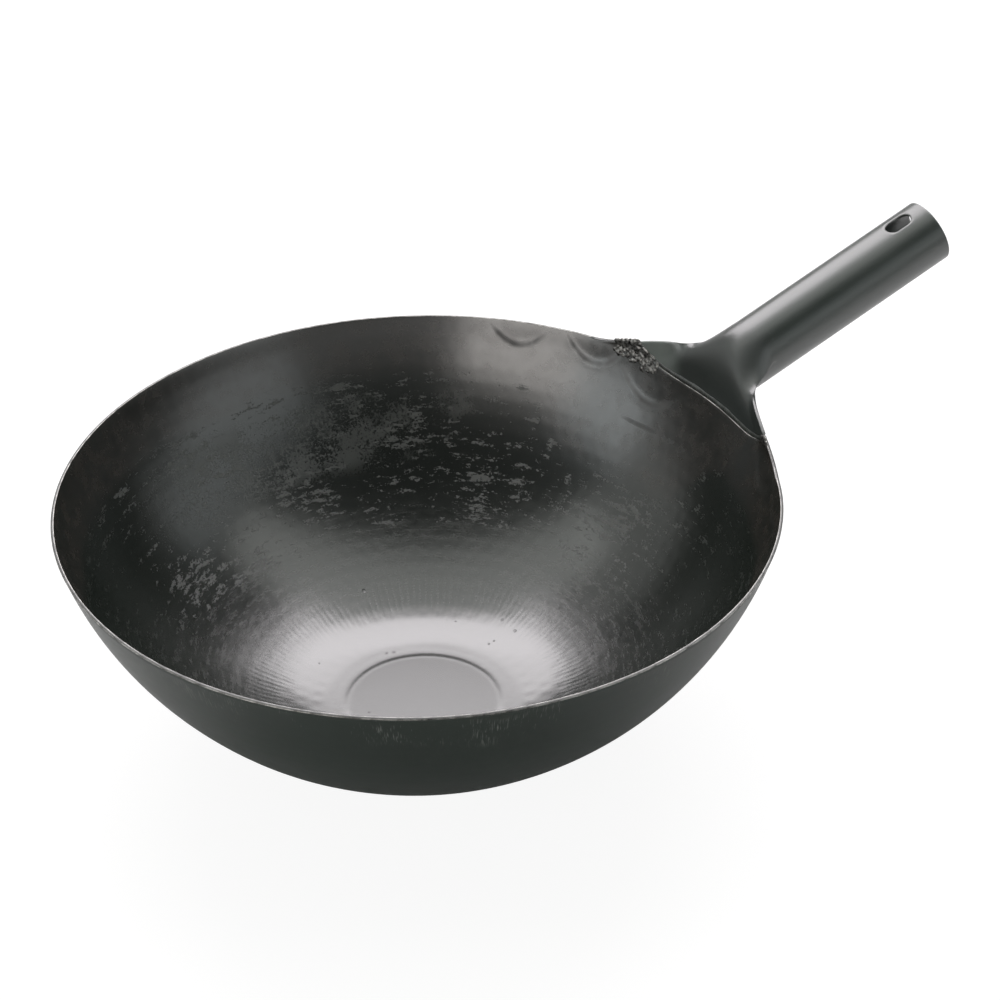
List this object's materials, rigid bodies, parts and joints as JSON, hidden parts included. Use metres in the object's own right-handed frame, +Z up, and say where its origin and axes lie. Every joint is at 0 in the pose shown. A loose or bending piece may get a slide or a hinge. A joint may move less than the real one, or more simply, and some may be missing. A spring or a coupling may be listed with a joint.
{
  "type": "carbon steel wok",
  "caption": "Round-bottomed hammered steel wok with a small flat foot and one long hollow tube handle welded into its rim, with a slot to hang it by.",
  "frame": {"origin": "centre of the flat disc under the bowl, on the face that it stands on", "axes": "+X out along the handle as seen from above, +Y to the left of that, +Z up out of the bowl"},
  "size_m": [0.5001, 0.36, 0.1981],
  "materials": {
    "hammered_steel": "hammered, blued and oiled, dark grey with a green cast",
    "weld_metal": "weld metal, brushed off and oiled"
  },
  "bodies": {
    "root": {"bowl": "hammered_steel", "handle": "hammered_steel", "neck_weld": "weld_metal", "rim_weld_left": "weld_metal", "rim_weld_right": "weld_metal", "handle_seam_weld": "weld_metal", "underside_weld": "weld_metal"}
  },
  "joints": []
}
